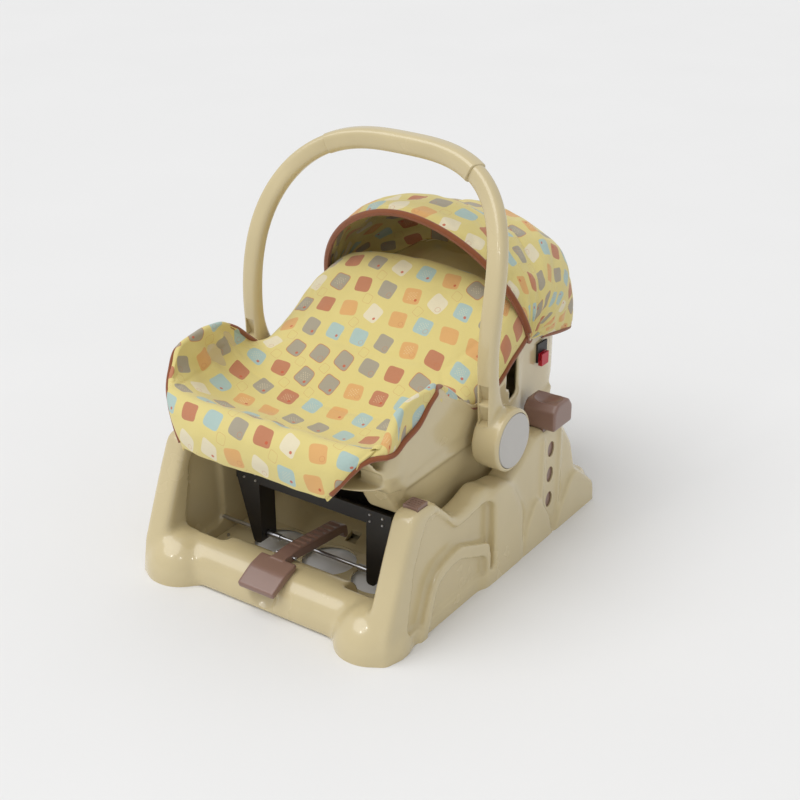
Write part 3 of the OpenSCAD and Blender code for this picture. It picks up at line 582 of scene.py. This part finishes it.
# %% Lever
SHAFT = [(56, 57, 2), (70, 54, 3), (88, 54, 3), (150, 47, 10), (188, 44, 2), (191, 42, 2), (193, 35, 1),
         (198, 33, 2), (201, 38, 3), (198, 53, 6), (188, 58, 4), (90, 68, 10), (58, 66, 2)]
PADDLE = [(13, 36, 3), (62, 56, 3), (64, 66, 4), (38, 60, 30), (11, 45, 3)]
parts = [slab(rounded(SHAFT, 3), -11, 11, bevel=1.6), slab(rounded(PADDLE, 4), -29.5, 29.5, bevel=3.0)]
for rib_y in range(96, 186, 12):
    rib_z = 67.5 - (rib_y - 90) * 0.098
    parts.append(block((-9, rib_y, rib_z - 4), (9, rib_y + 5, rib_z + 1.6), bevel=1.2))
lever = melt("lever", join(*parts), 1.1, 3)
cut(lever, barrel(-40, 40, 78, 61, 2.6, sides=32))
smooth_shade(lever, 50)
dress(lever, BROWN, "brown_plastic", "lever", "release_lever")

# %% Post caps
CAP = [(390, 175.2, 3), (440, 175.2, 3), (440, 200, 8), (430, 213, 6), (399, 213, 6), (390, 203, 6)]
for sign, side_name in ((1, "left"), (-1, "right")):
    low, high = sorted((sign * 172, sign * 222))
    cap = melt("cap_" + side_name, slab(rounded(CAP, 4), low, high, bevel=7), 1.6, 4)
    cut(cap, ball(sign * 197, 415, 236, 30))
    cut(cap, block((low + 4, 396, 170), (high - 4, 434, 181)))
    smooth_shade(cap, 50)
    dress(cap, BROWN, "brown_plastic", "height_post_" + side_name, "post_cap_" + side_name)

# %% Rivets
rivets = bmesh.new()
for x in (-116, -96, 96, 116):
    for z in (118, 128):
        turn = Matrix.Translation(at(x, 133.4, z)) @ Matrix.Rotation(pi / 2, 4, "X")
        bmesh.ops.create_cone(rivets, cap_ends=True, segments=16, radius1=2.0 * MM, radius2=1.3 * MM,
                              depth=1.6 * MM, matrix=turn)
rivets = new_object("latch_rivets", rivets)
dress(rivets, STEEL, "steel", "latch")

# %% [markdown]
# ## Handle
# The handle is a bow with a flattened round section. Its arms get deeper towards the hubs. The grip
# is a thicker sleeve over the top. Both follow one centre line: straight arms, then a superellipse.

# %% Handle
hub_y, hub_z, arm_x = 285, 208, 193
arm_top, bow_top, bow_rise = 354, 554, 346


def signed_power(value, exponent):
    return (1 if value >= 0 else -1) * abs(value) ** exponent


def bow_point(s):
    """The centre line for s from 0 to 1, as (x, y, z) in millimetres."""
    arm = 0.17
    if s < arm or s > 1 - arm:
        z = hub_z + (arm_top - hub_z) * min(s, 1 - s) / arm
        x = arm_x if s < 0.5 else -arm_x
    else:
        a = pi * (s - arm) / (1 - 2 * arm)
        x = arm_x * signed_power(cos(a), 2 / 2.95)
        z = arm_top + (bow_top - arm_top) * max(0, sin(a)) ** (2 / 2.95)
    t = (z - hub_z) / bow_rise
    return Vector((x, 283 - 143.5 * t + 215 * t * t, z))


def bow_place(wide, deep, start=0.0, end=1.0, flare=True):
    """The surface of a swept section about the centre line."""
    def place(u, v):
        s = start + (end - start) * v
        here = bow_point(s)
        heading = (bow_point(min(1, s + 0.004)) - bow_point(max(0, s - 0.004))).normalized()
        outward = heading.cross(Vector((0, 1, 0))).normalized()
        back = outward.cross(heading)
        grow = 47 * max(0, 1 - (here.z - hub_z) / 92) ** 1.6 if flare else 0
        a = 2 * pi * u
        spot = here + outward * wide / 2 * signed_power(cos(a), 0.62)
        spot = spot + back * (deep + grow) / 2 * signed_power(sin(a), 0.62)
        return at(*spot)
    return place


bow = skin(None, bow_place(26, 22), 32, 240, closed=True)
hubs = join(barrel(180, 220, hub_y, hub_z, 43, bevel=3), barrel(-220, -180, hub_y, hub_z, 43, bevel=3))
handle = melt("handle", join(bow, hubs), 2.2, 4)
recess = join(barrel(204, 240, hub_y, hub_z, 38.2), barrel(-240, -204, hub_y, hub_z, 38.2))
cut(handle, recess)
pockets = bmesh.new()
for sign in (1, -1):
    for z0, z1 in ((236, 262), (266, 292)):
        t = ((z0 + z1) / 2 - hub_z) / bow_rise
        y_mid = 283 - 143.5 * t + 215 * t * t
        depth = 11 + 23.5 * max(0, 1 - t * bow_rise / 92) ** 1.6
        spot = Matrix.Translation(at(sign * 193, y_mid - depth - 1, (z0 + z1) / 2))
        bmesh.ops.create_cube(pockets, size=1, matrix=spot @ Matrix.Rotation(radians(20), 4, "X")
                              @ Matrix.Diagonal((0.014, 0.016, (z1 - z0) * MM, 1)))
cut(handle, pockets)
smooth_shade(handle, 50)
dress(handle, CREAM, "cream_plastic", "handle", "handle_bow")

grip_start = 0.395
grip = skin("grip", bow_place(28.4, 28.4, grip_start, 1 - grip_start, False), 40, 110, closed=True)
edge = grip.modifiers.new("edge", "BEVEL")
edge.width = 2.5 * MM
edge.segments = 3
edge.limit_method = "ANGLE"
edge.angle_limit = radians(50)
apply_modifiers(grip)
smooth_shade(grip, 50)
dress(grip, CREAM, "cream_plastic", "handle", "handle_grip")

# %% Hub buttons
for sign, side_name in ((1, "left"), (-1, "right")):
    low, high = sorted((sign * 216.2, sign * 221.5))
    disc = barrel(low, high, hub_y, hub_z, 37.4, bevel=1.6, sides=96)
    button = new_object("hub_disc_" + side_name, disc)
    cut(button, ball(sign * 421, hub_y, hub_z, 200.6))
    smooth_shade(button, 35)
    dress(button, GREY, "grey_plastic", "hub_" + side_name, "hub_button_" + side_name)

# %% [markdown]
# ## Cover
# The cover is one padded sheet. It hangs over the front lip, lies in the tub, climbs both wings and
# rolls over their rims, dips to the rim beside the handle, and runs up the back. Rows across the seat
# describe it: each has its middle, its crest on the rim, how square its bend is and how far the cloth
# hangs outside the rim. A cloth simulation, held at the seams and edges, then puffs it up. Keeping
# the grid through the simulation keeps its UV map, which the print needs.

# %% Cover surface
# middle y, middle z, crest x, crest y, crest z, bend, drop outside on the left, and on the right
ROWS = [(15, 211, 116, 19, 212, 3.0, 0, 0), (10, 238, 134, 26, 236, 3.0, 0, 0),
        (17, 264, 152, 38, 260, 3.0, 0, 0), (38, 277, 163, 54, 274, 3.2, 5, 3),
        (66, 262, 167, 66, 292, 3.2, 22, 4), (95, 243, 168, 82, 315, 3.2, 36, 5),
        (125, 234, 168, 112, 321, 3.2, 33, 5), (155, 236, 168, 142, 321, 3.2, 13, 5),
        (182, 242, 168, 168, 320, 3.2, 3, 3), (204, 253, 170, 196, 303, 3.0, 0, 0),
        (228, 268, 171, 226, 277, 3.0, 0, 0), (256, 287, 171, 258, 253, 3.0, 0, 0),
        (286, 306, 171, 292, 251, 3.2, 0, 0), (318, 327, 171, 324, 264, 3.2, 0, 0),
        (350, 349, 171, 354, 282, 3.2, 0, 0), (380, 367, 168, 384, 292, 3.0, 0, 0),
        (404, 374, 164, 410, 301, 2.7, 0, 0), (424, 364, 158, 432, 306, 2.5, 0, 0)]
ROLL_FROM = 0.86
ROLL_R = 6.5


def evened(t, power):
    """Shifts the steps of a grid, so that they come out nearly even on a squared-off curve."""
    return t ** power / (t ** power + (1 - t) ** power)


def cover_place(u, v):
    """A point on the cover: u across from right to left, v from the front edge to the head."""
    my, mz, cx, cy, cz, bend, drop_left, drop_right = through(ROWS, v)
    s = 2 * u - 1
    drop = drop_left if s > 0 else drop_right
    a = evened(min(1, abs(s) / ROLL_FROM), 1.55) * pi / 2
    x = cx * sin(a) ** (2 / bend)
    rise = 1 - max(0, cos(a)) ** (2 / bend)
    y, z = my + (cy - my) * rise, mz + (cz - mz) * rise
    over = max(0, (abs(s) - ROLL_FROM) / (1 - ROLL_FROM))
    roll = min(ROLL_R, max(0, drop))
    turn = pi * min(1, over * 2)
    x += roll * (1 - cos(turn))
    z += roll * sin(turn) - max(0, drop) * max(0, over * 2 - 1)
    y += max(0, drop) * 0.22 * over
    return at(x if s > 0 else -x, y, z)


def set_cloth_uv(piece, wide, long, place):
    """A UV map in metres: lengths measured over the surface, so that the print isn't stretched."""
    grid = [[place(i / wide, j / long) for i in range(wide + 1)] for j in range(long + 1)]
    half = wide // 2
    down = [0.0]
    for j in range(long):
        down.append(down[-1] + (grid[j + 1][half] - grid[j][half]).length)
    spots = []
    for row in grid:
        steps = [0.0]
        for i in range(wide):
            steps.append(steps[-1] + (row[i + 1] - row[i]).length)
        spots.append([s - steps[half] for s in steps])
    for loop in piece.data.uv_layers["cloth"].uv:
        i, j = round(loop.vector.x * wide), round(loop.vector.y * long)
        loop.vector = (spots[j][i], down[j])
    return down[-1], spots


WIDE, LONG = 132, 150
cover = skin("cover", cover_place, WIDE, LONG)
cover_length = set_cloth_uv(cover, WIDE, LONG, cover_place)[0]
print("cover length", round(cover_length, 3), "m")

# %% [markdown]
# ## Carrier tub
# The tub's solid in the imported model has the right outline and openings, so a merged copy of it is
# used, with fuller flanks under the cover's edges. What would show through the cloth is cut away:
# everything above a surface just under the cover, and the corners of the front lip. Remeshing and
# smoothing then round its edges, and the lower front corners are tucked in.

# %% Tub
def copy_of(node_name):
    """A merged copy of a CAD node's mesh, as a bmesh."""
    bm = bmesh.new()
    bm.from_mesh(frame["nodes"][node_name].data)
    bmesh.ops.remove_doubles(bm, verts=bm.verts, dist=1e-6)
    return bm


def under_cover(u, v):
    """The inner part of the cover, a padding's thickness lower."""
    return cover_place(0.5 + (u - 0.5) * ROLL_FROM * 0.985, v) - Vector((0, 0, 7 * MM))


above = skin(None, under_cover, 48, 60)
roof = bmesh.ops.extrude_face_region(above, geom=above.faces[:])
roof = [g for g in roof["geom"] if isinstance(g, bmesh.types.BMVert)]
for vert in roof:
    vert.co.z = 0.6
bmesh.ops.recalc_face_normals(above, faces=above.faces)
if above.calc_volume(signed=True) < 0:
    bmesh.ops.reverse_faces(above, faces=above.faces)
LIP_PLAN = [(-176, 23, 92), (176, 23, 92), (178, 640, 0), (-178, 640, 0)]
LOWER_FLANK = [(84, 196, 10), (110, 160, 30), (170, 132, 40), (290, 130, 40), (340, 165, 30),
               (352, 215, 0), (84, 215, 0)]
UPPER_FLANK = [(66, 200, 10), (350, 200, 10), (352, 244, 10), (300, 248, 30), (262, 248, 30),
               (218, 282, 30), (169, 312, 20), (107, 280, 30), (70, 260, 20)]
flanks = both_sides(join(slab(rounded(LOWER_FLANK), 110, 154), slab(rounded(UPPER_FLANK), 128, 170)))
tub = new_object("carrier_tub", join(copy_of("seat_shell"), flanks))
cut(tub, above, crossing=True)
cut(tub, slab(rounded(LIP_PLAN, 12), 60, 420, axis="z"), "INTERSECT")
bm = bmesh.new()
bm.from_mesh(tub.data)
bpy.data.objects.remove(tub)
tub = melt("carrier_tub", bm, 2.8, 9)
for vert in tub.data.vertices:
    x, y, z = abs(vert.co.x) / MM, (vert.co.y - front_y) / MM, vert.co.z / MM
    tuck = [max(0, min(1, w)) for w in ((112 - y) / 90, (232 - z) / 30, (x - 50) / 60)]
    tuck = tuck[0] * tuck[1] * tuck[2]
    vert.co.y += 30 * tuck * MM
    vert.co.x -= 16 * tuck * MM * (1 if vert.co.x > 0 else -1)
smooth_shade(tub, 60)
dress(tub, CREAM, "cream_plastic", "carrier", "seat_shell")

# %% [markdown]
# Seams divide the cover into a head panel, two side panels and the seat. A seam pulls the padding
# down, so the cloth is held there while air pressure fills what lies between.

# %% Cover seams and filling
HEAD_SEAM = 0.67
SEAMS = [((-0.56, 0.97), (-0.46, 0.80), (-0.36, HEAD_SEAM)),
         ((0.56, 0.97), (0.46, 0.80), (0.36, HEAD_SEAM)),
         ((-0.36, HEAD_SEAM), (0.0, HEAD_SEAM - 0.015), (0.36, HEAD_SEAM)),
         ((-0.36, HEAD_SEAM), (-0.50, 0.58), (-0.64, 0.50)),
         ((0.36, HEAD_SEAM), (0.50, 0.58), (0.64, 0.50)),
         ((-0.66, 0.44), (-0.58, 0.36), (-0.55, 0.22)), ((0.66, 0.44), (0.58, 0.36), (0.55, 0.22)),
         ((-0.60, 0.47), (0.0, 0.46), (0.60, 0.47))]


def seam_distance(s, v):
    """How far a point of the grid lies from the nearest seam, in grid shares."""
    best = 9.0
    for seam in SEAMS:
        for (s0, v0), (s1, v1) in zip(seam, seam[1:]):
            length = (s1 - s0) ** 2 + (v1 - v0) ** 2
            w = max(0, min(1, ((s - s0) * (s1 - s0) + (v - v0) * (v1 - v0)) / length))
            best = min(best, ((s - s0 - w * (s1 - s0)) ** 2 + (v - v0 - w * (v1 - v0)) ** 2) ** 0.5)
    return best


def simulate(piece, held, pressure, frames, most, shrink=0.0):
    """Lets a piece billow as cloth, held where held() is true, and keeps each move under most."""
    group = piece.vertex_groups.new(name="held")
    rest = [v.co.copy() for v in piece.data.vertices]
    for i in range(len(rest)):
        group.add([i], held(i), "REPLACE")
    cloth = piece.modifiers.new("cloth", "CLOTH")
    cloth.settings.vertex_group_mass = "held"
    cloth.settings.use_pressure = True
    cloth.settings.uniform_pressure_force = pressure
    cloth.settings.shrink_min = shrink
    cloth.settings.mass = 0.15
    cloth.settings.tension_stiffness = 8
    cloth.settings.compression_stiffness = 8
    cloth.settings.bending_stiffness = 0.4
    cloth.settings.effector_weights.gravity = 0
    cloth.collision_settings.use_collision = False
    scene = bpy.context.scene
    for step in range(1, frames + 1):
        scene.frame_set(step)
    apply_modifiers(piece)
    scene.frame_set(1)
    for vert, old in zip(piece.data.vertices, rest):
        move = vert.co - old
        if move.length > most * MM:
            vert.co = old + move * (most * MM / move.length)
    piece.vertex_groups.clear()


def grid_place(i, wide, long):
    return 2 * (i % (wide + 1)) / wide - 1, (i // (wide + 1)) / long


def cover_held(i):
    s, v = grid_place(i, WIDE, LONG)
    if abs(s) > 0.985 or v < 0.01 or v > 0.985:
        return 1.0
    return max(0.0, 1 - seam_distance(s, v) / 0.02)


def ruffle(piece, wide, long, amount):
    """Soft hand-made looking unevenness: each point of a grid moves along its normal by what amount()
    gives.
    """
    normals = [v.normal.copy() for v in piece.data.vertices]
    for i, vert in enumerate(piece.data.vertices):
        s, v = grid_place(i, wide, long)
        vert.co += normals[i] * amount(s, v, vert.co) * MM


def cover_folds(s, v, spot):
    folds = 2.6 * noise.noise(spot * 15) + 1.5 * noise.noise(spot * 42)
    hip = max(0, 1 - (((abs(s) - 0.62) / 0.25) ** 2 + ((v - 0.42) / 0.13) ** 2))
    folds += 3.4 * hip * sin(70 * v + 12 * abs(s))
    lip = max(0, 1 - ((v - 0.19) / 0.09) ** 2) * max(0, 1 - (abs(s) / 0.75) ** 4)
    folds += 1.5 * lip * sin(21 * s + 3 * sin(9 * s))
    return folds


ruffle(cover, WIDE, LONG, cover_folds)
simulate(cover, cover_held, 3.0, 16, 7)
ruffle(cover, WIDE, LONG, lambda s, v, spot: -2.2 * max(0, 1 - seam_distance(s, v) / 0.016) ** 1.5)
solid = cover.modifiers.new("padding", "SOLIDIFY")
solid.thickness = 5 * MM
solid.offset = -1
apply_modifiers(cover)
finer = cover.modifiers.new("finer", "SUBSURF")
finer.levels = finer.render_levels = 1
cover.data.shade_smooth()
dress(cover, COTTON, "printed_cotton", "carrier", "seat_pad", "back_pad")

# %% Cover binding
edges = []
for s in (0.0, 1.0):
    path = [cover_place(s, v / 200) for v in range(4, 196)]
    edges.append(strip(None, path, 7.5, 7.5, up=Vector((0, 0, 1))))
binding = new_object("cover_binding", join(*edges))
binding.data.shade_smooth()
dress(binding, BINDING, "binding", "carrier")

# %% [markdown]
# ## Hood
# The hood is a cotton dome between a hoop at its front and the carrier's back. Its ribs all start at
# the two hinges, so a grid of angle and reach describes it. The cloth sags a little behind the hoop
# and gathers at the lower edge behind the head.

# %% Hood surface
hood_y, hood_z = 406, 297
RIBS = [(-14, 203), (0, 202), (20, 200), (42, 176), (65, 153), (88, 160), (110, 171)]


def hood_reach(angle):
    """How far the hood reaches from its hinges at an angle, from the listed ribs."""
    for (a0, r0), (a1, r1) in zip(RIBS, RIBS[1:]):
        if angle <= a1 or a1 == RIBS[-1][0]:
            w = max(0, min(1, (angle - a0) / (a1 - a0)))
            w = w * w * (3 - 2 * w)
            return r0 + (r1 - r0) * w


def hood_place(u, v):
    """A point on the hood: u from hinge to hinge, v from the hoop to the rear edge."""
    angle = 110 - 124 * v
    reach = hood_reach(angle)
    bend = 1.9 + 1.6 * v
    half = 1 - abs(2 * u - 1)
    b = pi / 2 * evened(half, 1 + 0.45 * v)
    b = b if u < 0.5 else pi - b
    x = 170 * signed_power(cos(b), 2 / bend)
    r = reach * max(0, sin(b)) ** (2 / bend)
    gather = max(0, (v - 0.72) / 0.28) ** 1.5 * min(1, r / 60)
    r += 5.0 * gather * sin(40 * u + 2.2 * sin(15 * u)) + 2.0 * gather * sin(83 * u)
    fan = max(0, 1 - r / 110) * min(1, v / 0.15) * min(1, r / 20)
    x += 2.4 * fan * sin(38 * v) * (-1 if x > 0 else 1)
    return at(x, hood_y + r * cos(radians(angle)), hood_z + r * sin(radians(angle)))


HOOD_WIDE, HOOD_LONG = 140, 110
hood = skin("hood", hood_place, HOOD_WIDE, HOOD_LONG)
hood_length, hood_spots = set_cloth_uv(hood, HOOD_WIDE, HOOD_LONG, hood_place)


def hood_folds(spot):
    return 3.4 * noise.noise(spot * 14 + Vector((3, 1, 7))) + 1.9 * noise.noise(spot * 38)


def hood_held(i):
    s, v = grid_place(i, HOOD_WIDE, HOOD_LONG)
    return 1.0 if v < 0.02 or v > 0.97 or abs(s) > 0.93 else 0.0


ruffle(hood, HOOD_WIDE, HOOD_LONG, lambda s, v, spot: hood_folds(spot) * min(1, v / 0.06))
simulate(hood, hood_held, -0.5, 14, 6, shrink=-0.02)
bm = bmesh.new()
bm.from_mesh(hood.data)
hood_area = sum(f.calc_area() for f in bm.faces)
bm.free()
solid = hood.modifiers.new("cloth", "SOLIDIFY")
solid.thickness = 1.4 * MM
solid.offset = 0
apply_modifiers(hood)
hood.data.shade_smooth()
dress(hood, COTTON, "printed_cotton", "hood", "hood_cloth")

# %% Hood binding
path = [hood_place(u / 160, 0.0) for u in range(4, 157)]
hem = [hood_place(u / 160, 0.995) for u in range(6, 155)]
front_band = strip(None, path, 9, 8, up=Vector((0, 1, 0)))
rear_band = strip(None, hem, 4, 5, up=Vector((0, 1, 0)))
hood_binding = new_object("hood_binding", join(front_band, rear_band))
hood_binding.data.shade_smooth()
dress(hood_binding, BINDING, "binding", "hood")

# %% [markdown]
# ## Floor, light and camera
# A pale sweep and large soft lights give the even, shadow-poor light of a studio. The camera stands
# at a steep three-quarter view from the front left.

# %% Floor
bm = bmesh.new()
bmesh.ops.create_grid(bm, x_segments=1, y_segments=1, size=6.0)
floor = new_object("floor", bm)
mat, tree, shader = material("floor")
where = node(tree, "TexCoord").outputs["Object"]
cloud = node(tree, "TexNoise", Vector=where, Scale=3.0).outputs["Fac"]
tree.links.new(mix(tree, cloud, tint(231, 231, 231), tint(234, 234, 234)), shader.inputs["Base Color"])
shader.inputs["Roughness"].default_value = 0.9
floor.data.materials.append(mat)

# %% Light
world = bpy.data.worlds.new("studio")
bpy.context.scene.world = world
world.use_nodes = True
world.node_tree.nodes["Background"].inputs[0].default_value = (1, 1, 1, 1)
world.node_tree.nodes["Background"].inputs[1].default_value = 0.66


def aim(lamp, place):
    """Places a lamp and turns it towards the seat."""
    lamp.location = place
    lamp.rotation_euler = (Vector((0, 0, 0.25)) - Vector(place)).to_track_quat("-Z", "Y").to_euler()
    bpy.context.scene.collection.objects.link(lamp)


def softbox(name, place, power, size):
    """A square lamp; the small ones make the highlights on the plastic."""
    light = bpy.data.lights.new(name, "AREA")
    light.energy = power
    light.size = size
    aim(bpy.data.objects.new(name, light), place)


sun = bpy.data.lights.new("key", "SUN")
sun.energy = 1.35
sun.angle = radians(50)
aim(bpy.data.objects.new("key", sun), (-0.9, -1.3, 3.0))
softbox("spark_left", (-0.5, -2.6, 2.2), 3.0, 0.22)
softbox("spark_right", (1.1, -2.4, 2.4), 3.0, 0.22)

# %% Camera
camera = bpy.data.objects.new("camera", bpy.data.cameras.new("camera"))
bpy.context.scene.collection.objects.link(camera)
bpy.context.scene.camera = camera
azimuth, elevation = 0.6053, 0.4523
looking = Vector((-sin(azimuth) * cos(elevation), cos(azimuth) * cos(elevation), -sin(elevation)))
camera.location = at(1104.5, -1254.8, 1126.9)
camera.rotation_euler = looking.to_track_quat("-Z", "Y").to_euler()
camera.data.lens = 68.75
camera.data.sensor_width = 36
bpy.context.scene.view_settings.view_transform = "Standard"

# %% Finish
print("cad", [round(c, 4) for c in (*cad_low, *cad_high)])
